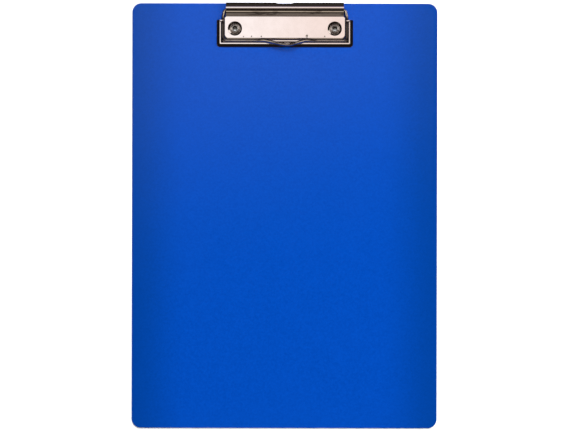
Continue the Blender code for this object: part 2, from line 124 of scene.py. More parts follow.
WIRE_RADIUS = 0.0011
WIRE_BEND = 0.003
WIRE_END_ROUND = 0.0002
PIVOT_Y = 0.1550
PIVOT_Z = TOP + CLEARANCE + WIRE_RADIUS
WIRE_END_X = 0.0100
WIRE_UPPER_X = 0.0461
WIRE_LOWER_X = 0.0467
WIRE_FRONT_Y = 0.1315
WIRE_FRONT_Z = TOP + 0.00225
WIRE_JOG_Z = TOP + 0.00185
WIRE_DIP_Y = 0.1435
WIRE_HUMP_Z = TOP + 0.0029
JOG_FRONT_Y = 0.1499
JOG_REAR_Y = 0.1519
LIFT_RISE_HALF_LENGTH = 0.0260
LIFT_RISE = 0.00439
LIFT_APEX_X = 0.0018
LIFT_BOW_LEFT = 0.0185
LIFT_BOW_RIGHT = 0.0145
LIFT_FORWARD = 0.0037
LIFT_VEE_SHARE = 0.45           # of the bow that has straight flanks
LIFT_VEE_ROUND = 0.12

JAW_SHEET = 0.0005
JAW_HALF_WIDTH = 0.0515
JAW_FRONT = 0.1268
JAW_LEG_END = 0.1472
JAW_CORNER = 0.0026
JAW_INNER_CORNER = 0.0006       # the tightest corner in plan, at the gutter's edge
TAB_WIDTH = 0.0012
TAB_THICKNESS = 0.0004
TAB_TOP = TOP + 0.0041

# The jaw's upper face: step inwards, height above the board and bend radius.
JAW_SECTION = (
    (0.00015, 0.0007, 0),       # foot of the outer wall
    (0.0003, 0.00082, 0),       # on the wall, just above its edge
    (0.0022, 0.0023, 0.0004),   # ridge
    (0.0031, 0.0023, 0.0003),
    (0.0034, 0.0020, 0.0003),
    (0.0036, 0.00125, 0.0003),  # foot of the inner wall
    (0.0044, 0.00085, 0.0012),  # gutter
    (0.00572, 0.00085, 0),
)
LEG_SHOULDER = 0.0023           # on the legs the outer wall is wider up to this step
LEG_RIDGE_END = 0.0037          # and as on the front from this step on
LEG_EXTRA = 0.0005

HANGER_SHEET = 0.0007
HANGER_HALF_WIDTH = 0.0062
HANGER_EAR_HALF_WIDTH = 0.0090
HANGER_TIP = 0.1599
HANGER_TIP_HOLLOW = 0.0006
HANGER_EAR_REAR = 0.1462
HANGER_INNER_END = 0.1430
HANGER_HOLE_Y = 0.1525
HANGER_HOLE_RADIUS = 0.0025
HANGER_LIP_HALF_WIDTH = 0.0048
HANGER_LIP_HEIGHT = 0.0022
HANGER_CORNER = 0.0012

ROUND_STEPS = 72
BEND_STEPS = 8
CORNER_STEPS = 14
RIM_ROUND = 0.00012             # the plated edge of a pressed sheet is barely round


# ---- Outlines ----------------------------------------------------------------
def arc(cx, cy, radius, start, end, steps):
    """Points on an arc, with angles in degrees."""
    angles = [math.radians(start + (end - start) * i / steps) for i in range(steps + 1)]
    return [(cx + radius * math.cos(a), cy + radius * math.sin(a)) for a in angles]


def circle(cx, cy, radius, steps=ROUND_STEPS):
    """Points round a circle, without the first one again at the end."""
    return arc(cx, cy, radius, 0, 360, steps)[:-1]


def rounded_rectangle(half_x, half_y, radius, steps):
    """A rectangle about the origin, with round corners."""
    points = []
    for sign_x, sign_y, start in ((1, 1, 0), (-1, 1, 90), (-1, -1, 180), (1, -1, 270)):
        points += arc(sign_x * (half_x - radius), sign_y * (half_y - radius), radius,
                      start, start + 90, steps)
    return points


def u_path(half_width, front, rear, radius, steps=CORNER_STEPS):
    """An open U in plan: down the -X side, across the front and up the +X side."""
    left = arc(-half_width + radius, front + radius, radius, 180, 270, steps)
    right = arc(half_width - radius, front + radius, radius, 270, 360, steps)
    return [(-half_width, rear)] + left + right + [(half_width, rear)]


def rounded_line(corners, steps=BEND_STEPS):
    """A 2-D line through (x, y, radius) corners, each rounded by its radius."""
    points = [Vector(corners[0][:2])]
    for i in range(1, len(corners) - 1):
        before, corner, after = (Vector(c[:2]) for c in corners[i - 1:i + 2])
        radius = corners[i][2]
        if radius == 0:
            points.append(corner)
            continue
        points += fillet(before, corner, after, radius, steps)
    points.append(Vector(corners[-1][:2]))
    return points


def fillet(before, corner, after, radius, steps):
    """Points of an arc that rounds a corner between two straight runs, in 2-D or 3-D."""
    a = (before - corner).normalized()
    b = (after - corner).normalized()
    half_angle = math.acos(max(-1.0, min(1.0, a.dot(b)))) / 2
    reach = radius / math.tan(half_angle)
    centre = corner + (a + b).normalized() * radius / math.sin(half_angle)
    start = corner + a * reach - centre
    end = corner + b * reach - centre
    turn = math.acos(max(-1.0, min(1.0, start.normalized().dot(end.normalized()))))
    points = []
    for i in range(steps + 1):
        t = i / steps
        mix = start * math.sin((1 - t) * turn) + end * math.sin(t * turn)
        points.append(centre + mix / math.sin(turn))
    return points


def offset_corners(corners, distance):
    """The same cornered line moved to its right-hand side, with radii that keep its bends even."""
    moved = []
    for i, (x, y, radius) in enumerate(corners):
        here = Vector((x, y))
        ahead = (Vector(corners[i + 1][:2]) - here).normalized() if i + 1 < len(corners) else None
        behind = (here - Vector(corners[i - 1][:2])).normalized() if i else None
        first = behind or ahead
        second = ahead or behind
        n1 = Vector((first.y, -first.x))
        n2 = Vector((second.y, -second.x))
        mitre = (n1 + n2).normalized()
        point = here + mitre * distance / mitre.dot(n1)
        turn_right = first.x * second.y - first.y * second.x < 0
        new_radius = radius - distance if turn_right else radius + distance
        moved.append((point.x, point.y, max(new_radius, 0.00006) if radius else 0))
    return moved


def sheet_loop(corners, thickness):
    """The closed section of a bent sheet. The corners give its upper face."""
    upper = rounded_line(corners)
    lower = rounded_line(offset_corners(corners, thickness))
    loop = list(upper)
    loop += nose(upper[-1], lower[-1], upper[-1] - upper[-2])
    loop += list(reversed(lower))
    loop += nose(lower[0], upper[0], upper[0] - upper[1])
    return loop


def nose(start, end, outward, steps=5):
    """Inner points of a half round from one face's end to the other's."""
    centre = (start + end) / 2
    reach = outward.normalized() * (end - start).length / 2 * 0.7
    points = []
    for i in range(1, steps):
        a = math.pi * i / steps
        points.append(centre + (start - centre) * math.cos(a) + reach * math.sin(a))
    return points


# ---- Mesh helpers ------------------------------------------------------------
def row_of(bm, points):
    """New vertices at these points."""
    return [bm.verts.new(p) for p in points]


def bridge(bm, first, second, closed=False):
    """Quads between two rows that have as many points."""
    count = len(first)
    for i in range(count if closed else count - 1):
        j = (i + 1) % count
        bm.faces.new((first[i], first[j], second[j], second[i]))


def rim(bm, ring):
    """The edges round a closed row, which are made where they are missing."""
    found = []
    for a, b in zip(ring, ring[1:] + ring[:1]):
        found.append(bm.edges.get((a, b)) or bm.edges.new((a, b)))
    return found


def fill(bm, *rims):
    """Fill a flat region between closed rows."""
    edges = [edge for ring in rims for edge in rim(bm, ring)]
    bmesh.ops.triangle_fill(bm, use_beauty=True, use_dissolve=False, edges=edges)


def finish_piece(name, bm, node, body, material, crease=40, modifiers=()):
    """Turn a bmesh into the piece that stands for a CAD node."""
    bmesh.ops.recalc_face_normals(bm, faces=bm.faces)
    for face in bm.faces:
        face.smooth = True
    mesh = bpy.data.meshes.new(name)
    bm.to_mesh(mesh)
    bm.free()
    mesh.materials.append(material)
    mesh.set_sharp_from_angle(angle=math.radians(crease))
    piece = bpy.data.objects.new(name, mesh)
    bpy.context.scene.collection.objects.link(piece)
    for add in modifiers:
        add(piece)
    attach(piece, body)
    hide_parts(node)
    return piece


def sheet_thickness(thickness):
    """A modifier that thickens a sheet below its modelled face."""
    def add(piece):
        modifier = piece.modifiers.new("sheet_thickness", "SOLIDIFY")
        modifier.thickness = thickness
        modifier.offset = -1.0
        modifier.use_even_offset = True
    return add


def round_rim(width, segments=2, angle=50):
    """A modifier that rounds the cut edges."""
    def add(piece):
        modifier = piece.modifiers.new("round_rim", "BEVEL")
        modifier.width = width
        modifier.segments = segments
        modifier.limit_method = "ANGLE"
        modifier.angle_limit = math.radians(angle)
        modifier.harden_normals = True
    return add


# ---- Material helpers --------------------------------------------------------
def new_material(name):
    """A new material, its node tree and its shader."""
    material = bpy.data.materials.new(name)
    material.use_nodes = True
    tree = material.node_tree
    shader = tree.nodes["Principled BSDF"]
    return material, tree, shader


def add_node(tree, kind, inputs=None, **settings):
    """Add a node, set it up and link or set its inputs."""
    node = tree.nodes.new(kind)
    for key, value in settings.items():
        setattr(node, key, value)
    for key, value in (inputs or {}).items():
        if isinstance(value, bpy.types.NodeSocket):
            tree.links.new(value, node.inputs[key])
        else:
            node.inputs[key].default_value = value
    return node


def place_coordinates(tree, scale=(1.0, 1.0, 1.0)):
    """Coordinates on the object itself, stretched by a scale."""
    source = add_node(tree, "ShaderNodeTexCoord")
    return add_node(tree, "ShaderNodeMapping",
                    {"Vector": source.outputs["Object"], "Scale": scale}).outputs["Vector"]


def place_axes(tree, where):
    """The distance from the middle plane, and the places along the board and above its back."""
    axes = add_node(tree, "ShaderNodeSeparateXYZ", {"Vector": where})
    side = add_node(tree, "ShaderNodeMath", {0: axes.outputs["X"]}, operation="ABSOLUTE")
    return side.outputs["Value"], axes.outputs["Y"], axes.outputs["Z"]


def noise_value(tree, where, scale, detail=2.0, roughness=0.5):
    """A noise between about 0 and 1."""
    return add_node(tree, "ShaderNodeTexNoise",
                    {"Vector": where, "Scale": scale, "Detail": detail,
                     "Roughness": roughness}).outputs["Fac"]


def spread(tree, value, low, high, to_low, to_high, smooth=True):
    """Map a value from one range to another."""
    kind = "SMOOTHSTEP" if smooth else "LINEAR"
    node = add_node(tree, "ShaderNodeMapRange",
                    {"Value": value, "From Min": low, "From Max": high,
                     "To Min": to_low, "To Max": to_high}, interpolation_type=kind)
    return node.outputs["Result"]


def combine(tree, operation, a, b):
    """A math node of two inputs."""
    return add_node(tree, "ShaderNodeMath", {0: a, 1: b}, operation=operation).outputs["Value"]


def window(tree, value, rise_start, rise_end, fall_start, fall_end):
    """1 between two soft limits and 0 outside them."""
    up = spread(tree, value, rise_start, rise_end, 0.0, 1.0)
    down = spread(tree, value, fall_start, fall_end, 1.0, 0.0)
    return combine(tree, "MULTIPLY", up, down)


def mix_colours(tree, factor, first, second):
    """Mix two colours by a factor."""
    node = tree.nodes.new("ShaderNodeMix")
    node.data_type = "RGBA"
    sockets = {"factor": node.inputs[0], "a": node.inputs[6], "b": node.inputs[7]}
    for key, value in (("factor", factor), ("a", first), ("b", second)):
        if isinstance(value, bpy.types.NodeSocket):
            tree.links.new(value, sockets[key])
        elif key == "factor":
            sockets[key].default_value = value
        else:
            sockets[key].default_value = (*value, 1.0)
    return node.outputs[2]


def bump(tree, height, distance, normal=None):
    """A bump from a height between 0 and 1, with its full depth in metres."""
    inputs = {"Height": height, "Distance": distance, "Strength": 1.0}
    if normal is not None:
        inputs["Normal"] = normal
    return add_node(tree, "ShaderNodeBump", inputs).outputs["Normal"]


# ---- Materials ---------------------------------------------------------------
def painted_clip_shade(tree, side, along, height):
    """How much painted shade darkens the board's upper face, under the jaw and between the wire's
    ends.
    """
    shade_under_jaw = combine(
        tree, "MULTIPLY",
        spread(tree, side, JAW_HALF_WIDTH - 0.0027, JAW_HALF_WIDTH - 0.0005, 1.0, 0.0),
        window(tree, along, JAW_FRONT + 0.0006, JAW_FRONT + 0.0032,
               JAW_LEG_END - 0.0027, JAW_LEG_END - 0.0002))
    shade_beside_wire = combine(
        tree, "MULTIPLY",
        spread(tree, side, WIRE_UPPER_X - 0.0001, WIRE_UPPER_X + 0.0013, 1.0, 0.0),
        window(tree, along, PIVOT_Y - 0.0130, PIVOT_Y - 0.0110, PIVOT_Y - 0.0020, PIVOT_Y))
    on_top = spread(tree, height, TOP - 0.0004, TOP - 0.0002, 0.0, 0.85)
    return combine(tree, "MULTIPLY", combine(tree, "MAXIMUM", shade_under_jaw, shade_beside_wire), on_top)


def board_material():
    """Blue moulded plastic: fine matt grain and faint scuffs, with painted shade that darkens it
    towards the long sides and painted shade where the clip rests.
    """
    material, tree, shader = new_material("board_plastic")
    where = place_coordinates(tree)
    cloud = noise_value(tree, where, 28.0, 3.0, 0.6)
    fleck = noise_value(tree, where, 650.0, 3.0, 0.6)
    base = mix_colours(tree, spread(tree, cloud, 0.3, 0.7, 0.0, 1.0),
                       (0.0001, 0.0385, 0.272), (0.0002, 0.0400, 0.283))
    base = mix_colours(tree, spread(tree, fleck, 0.25, 0.75, 0.0, 1.0, False),
                       base, (0.0008, 0.0520, 0.355))
    side, along, height = place_axes(tree, where)
    # Painted shade: the colour darkens towards the long sides, where the light falls off.
    edge = spread(tree, side, 0.070, 0.116, 0.0, 0.6)
    base = mix_colours(tree, edge, base, (0.0001, 0.0270, 0.155))
    # Painted shade under the jaw and beside the wire near the hood, darkening the base colour.
    base = mix_colours(tree, painted_clip_shade(tree, side, along, height), base,
                       (0.0020, 0.0070, 0.0400))
    tree.links.new(base, shader.inputs["Base Color"])
    scuffs = noise_value(tree, place_coordinates(tree, (1.0, 0.12, 1.0)), 160.0, 4.0, 0.65)
    rough = spread(tree, scuffs, 0.35, 0.75, 0.19, 0.215)
    tree.links.new(rough, shader.inputs["Roughness"])
    shader.inputs["Specular IOR Level"].default_value = 0.18
    grain = noise_value(tree, where, 1500.0, 3.0, 0.6)
    wave = noise_value(tree, where, 14.0, 1.0, 0.5)
    normal = bump(tree, wave, 0.0001)
    normal = bump(tree, grain, 0.00004, normal)
    tree.links.new(normal, shader.inputs["Normal"])
    return material


def nickel_material():
    """Bright nickel plate: a warm mirror with faint haze, smudges, pressing waves and painted dark
    reflections in streaks on the hood's front slope.
    """
    material, tree, shader = new_material("nickel_plate")
    where = place_coordinates(tree)
    smudge = noise_value(tree, where, 90.0, 4.0, 0.6)
    base = mix_colours(tree, spread(tree, smudge, 0.35, 0.7, 0.0, 1.0),
                       (0.83, 0.765, 0.735), (0.795, 0.725, 0.69))
    slope_start = HOOD_SECTION[0][0]
    slope_end = HOOD_SECTION[3][0]
    on_hood = window(tree, place_axes(tree, where)[1], slope_start + 0.0007,
                     slope_start + 0.0015, slope_end - 0.0002, slope_end + 0.0004)
    # Painted dark reflections in streaks on the hood's front slope.
    reflection_blotch = noise_value(tree, place_coordinates(tree, (1.0, 3.5, 1.0)), 62.0, 4.0, 0.6)
    painted_reflection_streaks = combine(tree, "MULTIPLY", spread(tree, reflection_blotch, 0.46, 0.62, 0.0, 0.80), on_hood)
    base = mix_colours(tree, painted_reflection_streaks, base, (0.10, 0.075, 0.065))
    tree.links.new(base, shader.inputs["Base Color"])
    shader.inputs["Metallic"].default_value = 1.0
    fine = noise_value(tree, place_coordinates(tree, (1.0, 0.2, 1.0)), 1500.0, 3.0, 0.6)
    haze = combine(tree, "ADD", spread(tree, smudge, 0.4, 0.8, 0.05, 0.09),
                   spread(tree, fine, 0.45, 0.8, 0.0, 0.03))
    tree.links.new(haze, shader.inputs["Roughness"])
    wave = noise_value(tree, where, 70.0, 2.0, 0.5)
    orange_peel = noise_value(tree, where, 420.0, 2.0, 0.5)
    normal = bump(tree, wave, 0.000015)
    normal = bump(tree, orange_peel, 0.000003, normal)
    tree.links.new(normal, shader.inputs["Normal"])
    return material


def wire_material():
    """Nickel-plated drawn wire, with faint marks along its run, and painted shade along the jaw's
    legs.
    """
    material, tree, shader = new_material("spring_wire")
    where = place_coordinates(tree)
    tone = noise_value(tree, where, 260.0, 3.0, 0.6)
    base = mix_colours(tree, spread(tree, tone, 0.35, 0.7, 0.0, 1.0),
                       (0.72, 0.66, 0.61), (0.60, 0.54, 0.49))
    side, along, _ = place_axes(tree, where)
    # Painted shade: the wire turns nearly black where it runs along the jaw's legs.
    painted_leg_shade = combine(
        tree, "MULTIPLY",
        spread(tree, side, WIRE_LOWER_X - 0.0027, WIRE_LOWER_X - 0.0012, 0.0, 0.95),
        window(tree, along, WIRE_FRONT_Y - 0.0015, WIRE_FRONT_Y + 0.0010,
               JOG_FRONT_Y - 0.0024, JOG_FRONT_Y + 0.0001))
    base = mix_colours(tree, painted_leg_shade, base, (0.045, 0.036, 0.034))
    tree.links.new(base, shader.inputs["Base Color"])
    shader.inputs["Metallic"].default_value = 1.0
    tree.links.new(spread(tree, tone, 0.3, 0.8, 0.06, 0.12), shader.inputs["Roughness"])
    marks = noise_value(tree, place_coordinates(tree, (0.08, 1.0, 1.0)), 3800.0, 2.0, 0.5)
    tree.links.new(bump(tree, marks, 0.000004), shader.inputs["Normal"])
    return material


def rivet_material():
    """Rivet steel, a little dulled where the tool rolled it over."""
    material, tree, shader = new_material("rivet_steel")
    where = place_coordinates(tree)
    tone = noise_value(tree, where, 700.0, 4.0, 0.65)
    base = mix_colours(tree, spread(tree, tone, 0.35, 0.7, 0.0, 1.0),
                       (0.72, 0.70, 0.67), (0.55, 0.53, 0.50))
    tree.links.new(base, shader.inputs["Base Color"])
    shader.inputs["Metallic"].default_value = 1.0
    tree.links.new(spread(tree, tone, 0.3, 0.8, 0.20, 0.36), shader.inputs["Roughness"])
    marks = noise_value(tree, where, 2400.0, 2.0, 0.6)
    tree.links.new(bump(tree, marks, 0.00001), shader.inputs["Normal"])
    return material


# ---- Board -------------------------------------------------------------------
def board_ring(inset, height):
    """The board's outline, stepped inwards, at a height."""
    points = rounded_rectangle(BOARD_HALF_X - inset, BOARD_HALF_Y - inset,
                               BOARD_CORNER - inset, CORNER_STEPS)
    return [(x, y, height) for x, y in points]


def make_board(material):
    """The board with its rolled edge, two rivet holes and a sunk seat behind each."""
    bm = bmesh.new()
    r = BOARD_EDGE_ROUND
    flat_start = 0.0015
    section = [(flat_start, 0.0)]
    section += [(r + x, r + z) for x, z in arc(0, 0, r, 270, 180, BEND_STEPS)]
    section += [(r + x, TOP - r + z) for x, z in arc(0, 0, r, 180, 90, BEND_STEPS)]
    section.append((flat_start, TOP))
    rings = [row_of(bm, board_ring(inset, height)) for inset, height in section]
    for lower, upper in zip(rings, rings[1:]):
        bridge(bm, lower, upper, closed=True)
    tops = []
    seats = []
    for x in (-RIVET_X, RIVET_X):
        hole = [(RIVET_SEAT_RADIUS, 0.0), (RIVET_SEAT_RADIUS, RIVET_SEAT_DEPTH),
                (RIVET_HOLE_RADIUS, RIVET_SEAT_DEPTH), (RIVET_HOLE_RADIUS, TOP)]
        levels = [row_of(bm, [(px, py, z) for px, py in circle(x, RIVET_Y, radius)])
                  for radius, z in hole]
        for lower, upper in zip(levels, levels[1:]):
            bridge(bm, lower, upper, closed=True)
        seats.append(levels[0])
        tops.append(levels[-1])
    fill(bm, rings[0], *seats)
    fill(bm, rings[-1], *tops)
    return finish_piece("board_panel", bm, "board", "base", material)


# ---- Base plate --------------------------------------------------------------
def rim_line():
    """The platform's flange: steps inwards and heights, from its foot to the flat."""
    corners = [
        (0.0, TOP + CLEARANCE, 0),
        (PLATE_LEAN, PLATE_HEIGHT - PLATE_LIP_DROP, PLATE_EDGE_ROUND),
        (PLATE_LIP, PLATE_HEIGHT, PLATE_LIP_ROUND),
        (PLATE_LIP + PLATE_RIM_MARGIN, PLATE_HEIGHT, 0),
    ]
    return [tuple(p) for p in rounded_line(corners)]


def hood_corners():
    """The hood's section from the platform to its foot: positions, heights and radii."""
    corners = [(PLATE_FLANGE_END + PLATE_HOOD_MARGIN, PLATE_HEIGHT, 0)]
    corners += [(y, TOP + height, radius) for y, height, radius in HOOD_SECTION]
    corners.append((BOARD_HALF_Y, TOP + HOOD_REAR_HEIGHT, HOOD_REAR_ROUND))
    corners.append((BOARD_HALF_Y, TOP + CLEARANCE, 0))
    return corners


def split_hood_line():
    """The hood's rounded section, cut in two at its crest."""
    whole = [tuple(p) for p in rounded_line(hood_corners())]
    crest = max(range(len(whole)), key=lambda i: whole[i][1])
    return whole[:crest + 1], whole[crest:]


def hood_line():
    """The hood's section up to its crest: positions along the board and heights."""
    return split_hood_line()[0]


def rear_line(foot, steps=26):
    """The hood's rear wall from just behind its crest down to a height."""
    return trimmed(split_hood_line()[1], foot, steps)


def trimmed(line, foot, steps):
    """Even points along a falling line, which stops at a height."""
    kept = [Vector(line[0])]
    for a, b in zip(line, line[1:]):
        if b[1] <= foot:
            t = (a[1] - foot) / max(a[1] - b[1], 1e-12)
            kept.append(Vector(a).lerp(Vector(b), min(max(t, 0.0), 1.0)))
            break
        kept.append(Vector(b))
    lengths = [0.0]
    for a, b in zip(kept, kept[1:]):
        lengths.append(lengths[-1] + (b - a).length)
    points = []
    j = 0
    for i in range(1, steps + 1):
        target = lengths[-1] * i / steps
        while j < len(kept) - 2 and lengths[j + 1] < target:
            j += 1
        span = lengths[j + 1] - lengths[j]
        t = (target - lengths[j]) / span if span else 0.0
        points.append(kept[j].lerp(kept[j + 1], min(t, 1.0)))
    return [tuple(p) for p in points]


def hood_columns():
    """Positions across the hood, close together round the arch."""
    arch_steps = 16
    side_steps = 12
    arch = [ARCH_HALF_WIDTH * math.sin(math.pi / 2 * i / arch_steps)
            for i in range(-arch_steps, arch_steps + 1)]
    side = [ARCH_HALF_WIDTH + gap for gap in HOOD_COLUMN_GAPS]
    near = side[-1]
    side += [near + (HOOD_HALF_WIDTH - near) * i / side_steps for i in range(1, side_steps + 1)]
    return [-x for x in reversed(side)] + arch + side


def arch_foot(x):
    """Height of the rear wall's lower edge at a position across."""
    foot = TOP + CLEARANCE
    share = abs(x) / ARCH_HALF_WIDTH
    if share >= 1:
        return foot
    rise = (1 - share ** ARCH_SQUARENESS) ** (1 / ARCH_SQUARENESS)
    return max(foot, TOP + ARCH_HEIGHT * rise)


def dish_line():
    """The pressed seat of a rivet, as radius and height, from its rim to its hole."""
    corners = [
        (DISH_RADIUS + DISH_MARGIN, PLATE_HEIGHT, 0),
        (DISH_RADIUS - DISH_EDGE_STEP, PLATE_HEIGHT, DISH_EDGE_ROUND),
        (DISH_RADIUS - DISH_WALL, DISH_FLOOR, DISH_FLOOR_ROUND),
        (RIVET_HOLE_RADIUS, DISH_FLOOR, 0),
    ]
    return [tuple(p) for p in rounded_line(corners, 10)]


def add_dish(bm, x):
    """The rings of one dish. Returns its outermost ring."""
    rings = [row_of(bm, [(px, py, height) for px, py in circle(x, RIVET_Y, radius)])
             for radius, height in dish_line()]
    for outer, inner in zip(rings, rings[1:]):
        bridge(bm, outer, inner, closed=True)
    return rings[0]


def add_press_mark(bm, x, y, radius, depth):
    """A small round dimple in the platform. Returns its outermost ring, which is flat."""
    sides = 24
    steps = 6
    flat_margin = 1.25
    rings = [row_of(bm, [(px, py, PLATE_HEIGHT)
                         for px, py in circle(x, y, radius * flat_margin, sides)])]
    for i in range(steps):
        share = 1 - i / steps
        height = PLATE_HEIGHT - depth * (1 + math.cos(math.pi * share)) / 2
        rings.append(row_of(bm, [(px, py, height)
                                 for px, py in circle(x, y, radius * share, sides)]))
    for outer, inner in zip(rings, rings[1:]):
        bridge(bm, outer, inner, closed=True)
    bm.faces.new(rings[-1])
    return rings[0]


def make_base_plate(material):
    """The pressed plate: flanged platform, rivet dishes, and the hood with its arch."""
    bm = bmesh.new()
    rings = []
    for inset, height in rim_line():
        side_inset = inset * PLATE_SIDE_SHARE
        path = u_path(PLATE_HALF_WIDTH - side_inset, PLATE_FRONT + inset, PLATE_FLANGE_END,
                      PLATE_CORNER - side_inset)
        rings.append(row_of(bm, [(x, y, height) for x, y in path]))
    for outer, inner in zip(rings, rings[1:]):
        bridge(bm, outer, inner)
    platform = rings[-1]
    columns = []
    for x in hood_columns():
        line = hood_line() + rear_line(arch_foot(x))
        columns.append(row_of(bm, [(x, y, z) for y, z in line]))
    for left, right in zip(columns, columns[1:]):
        bridge(bm, left, right)
    front_row = [column[0] for column in columns]
    border = platform + list(reversed(front_row))
    marks = [add_press_mark(bm, *mark) for mark in PRESS_MARKS]
    fill(bm, border, add_dish(bm, -RIVET_X), add_dish(bm, RIVET_X), *marks)
    return finish_piece("pressed_base_plate", bm, "base_plate", "base",
                        material, 40, (sheet_thickness(PLATE_SHEET), round_rim(RIM_ROUND)))


# ---- Rivets ------------------------------------------------------------------
def rivet_line():
    """Half of the rivet's closed section, from the rolled head down and up its bore."""
    seat = DISH_FLOOR + CLEARANCE
    roll_x = (RIVET_HEAD_RADIUS - RIVET_TUBE_INNER) / 2
    roll_z = RIVET_HEAD_HEIGHT / 2
    middle = RIVET_TUBE_INNER + roll_x
    roll_steps = 18
    roll_turn = 12
    crown = [(middle + roll_x * math.cos(a), seat + roll_z + roll_z * math.sin(a))
             for a in (math.radians(180 - roll_turn * i) for i in range(roll_steps))]
    soft = RIVET_ROUND
    outside = [
        (RIVET_TUBE_OUTER, seat),
        (RIVET_TUBE_OUTER, RIVET_FLANGE_THICKNESS),
        (RIVET_FLANGE_RADIUS - soft, RIVET_FLANGE_THICKNESS),
    ]
    outside += arc(RIVET_FLANGE_RADIUS - RIVET_FLANGE_THICKNESS / 2,
                   RIVET_FLANGE_THICKNESS / 2, RIVET_FLANGE_THICKNESS / 2, 75, -90, 10)
    outside += [(RIVET_TUBE_INNER + soft * 2, 0.0)]
    outside += arc(RIVET_TUBE_INNER + soft * 2, soft * 2, soft * 2, -105, -180, 5)
    return crown + outside


def make_rivet(name, node, x, material):
    """A tubular rivet, turned from its section, with shallow creases in its rolled head."""
    head_foot = TOP + 0.0014
    turn_per_metre = 100
    bm = bmesh.new()
    line = rivet_line()
    rings = []
    for i in range(ROUND_STEPS):
        a = 2 * math.pi * i / ROUND_STEPS
        ring = []
        for radius, height in line:
            reach = radius
            if height > head_foot and radius > RIVET_TUBE_OUTER:
                lobe = math.cos(RIVET_LOBES * a + x * turn_per_metre)
                reach -= RIVET_LOBE_DEPTH * abs(lobe)
            ring.append((x + reach * math.cos(a), RIVET_Y + reach * math.sin(a), height))
        rings.append(row_of(bm, ring))
    for i, ring in enumerate(rings):
        bridge(bm, ring, rings[(i + 1) % ROUND_STEPS], closed=True)
    return finish_piece(name, bm, node, "base", material, 50)


# ---- Wire bail ---------------------------------------------------------------
def swell(x, half_length):
    """A smooth hump: 1 at the middle and 0 beyond its half length."""
    return (1 + math.cos(math.pi * min(x / half_length, 1.0))) / 2


def vee(x, half_length):
    """A hump with straighter flanks: 1 at the middle and 0 beyond its half length."""
    fade = 6
    t = min(abs(x) / half_length, 1.0)
    flank = (1 - math.hypot(t, LIFT_VEE_ROUND)) / (1 - LIFT_VEE_ROUND)
    straight = max(flank, 0.0) * min(1.0, (1 - t) * fade)
    return LIFT_VEE_SHARE * straight + (1 - LIFT_VEE_SHARE) * swell(abs(x), half_length)


def lift_point(x):
    """A point of the front run, which arches up and bows forwards round its apex."""
    side = x - LIFT_APEX_X
    half_length = LIFT_BOW_RIGHT if side > 0 else LIFT_BOW_LEFT
    y = WIRE_FRONT_Y - LIFT_FORWARD * vee(side, half_length)
    z = WIRE_FRONT_Z + LIFT_RISE * swell(abs(x), LIFT_RISE_HALF_LENGTH)
    return Vector((x, y, z))


def lift_points(steps):
    """The thumb lift, from -X to +X."""
    reach = LIFT_RISE_HALF_LENGTH
    return [lift_point(reach * (2 * i / steps - 1)) for i in range(steps + 1)]


def wire_side():
    """The bail's +X side, from its front run to its rear end."""
    # Each corner has the number of steps round its bend.
    corners = [
        (Vector((WIRE_LOWER_X, WIRE_FRONT_Y, WIRE_FRONT_Z)), 14),
        (Vector((WIRE_LOWER_X, WIRE_DIP_Y, WIRE_HUMP_Z)), 6),
        (Vector((WIRE_LOWER_X, JOG_FRONT_Y, WIRE_JOG_Z)), 5),
        (Vector((WIRE_UPPER_X, JOG_REAR_Y, (WIRE_JOG_Z + PIVOT_Z) / 2)), 5),
        (Vector((WIRE_UPPER_X, PIVOT_Y, PIVOT_Z)), 14),
    ]
    points = []
    start = Vector((LIFT_RISE_HALF_LENGTH, WIRE_FRONT_Y, WIRE_FRONT_Z))
    end = Vector((WIRE_END_X, PIVOT_Y, PIVOT_Z))
    for i, (corner, steps) in enumerate(corners):
        after = corners[i + 1][0] if i + 1 < len(corners) else end
        before = corners[i - 1][0] if i else start
        points += fillet(before, corner, after, WIRE_BEND, steps)
    points.append(end)
    return points


def tube(bm, route, radius, sides):
    """A round wire along a route, with softly chamfered ends."""
    rings = []
    side = Vector((0.0, 0.0, 1.0))
    for i, point in enumerate(route):
        ahead = route[min(i + 1, len(route) - 1)]
        behind = route[max(i - 1, 0)]
        along = (ahead - behind).normalized()
        side = (side - along * side.dot(along)).normalized()
        across = along.cross(side)
        rings.append((point, along, side, across, radius))
    first_point, first_along = rings[0][0], rings[0][1]
    last_point, last_along = rings[-1][0], rings[-1][1]
    soft = WIRE_END_ROUND
    rings[0] = (first_point + first_along * soft, *rings[0][1:])
    rings[-1] = (last_point - last_along * soft, *rings[-1][1:])
    rings.insert(0, (first_point + first_along * soft * 0.3, *rings[0][1:4], radius - soft * 0.3))
    rings.insert(0, (first_point, *rings[0][1:4], radius - soft))
    rings.append((last_point - last_along * soft * 0.3, *rings[-1][1:4], radius - soft * 0.3))
    rings.append((last_point, *rings[-1][1:4], radius - soft))
    rows = []
    for point, along, side, across, reach in rings:
        rows.append(row_of(bm, [point + reach * (side * math.cos(a) + across * math.sin(a))
                                for a in (2 * math.pi * k / sides for k in range(sides))]))
    for first, second in zip(rows, rows[1:]):
        bridge(bm, first, second, closed=True)
    bm.faces.new(rows[0])
    bm.faces.new(rows[-1])


def make_wire_bail(material):
    """The spring wire, bent to an open rectangle with its ends under the hood."""
    side = wire_side()
    mirrored = [Vector((-p.x, p.y, p.z)) for p in reversed(side)]
    route = mirrored + lift_points(96) + side
    bm = bmesh.new()
    tube(bm, route, WIRE_RADIUS, 28)
    return finish_piece("spring_wire_bail", bm, "wire_bail", "clamp", material)


# ---- Jaw ---------------------------------------------------------------------
def jaw_corners():
    """The jaw's upper face: steps inwards, heights and bend radii."""
    return [(inset, TOP + height, radius) for inset, height, radius in JAW_SECTION]


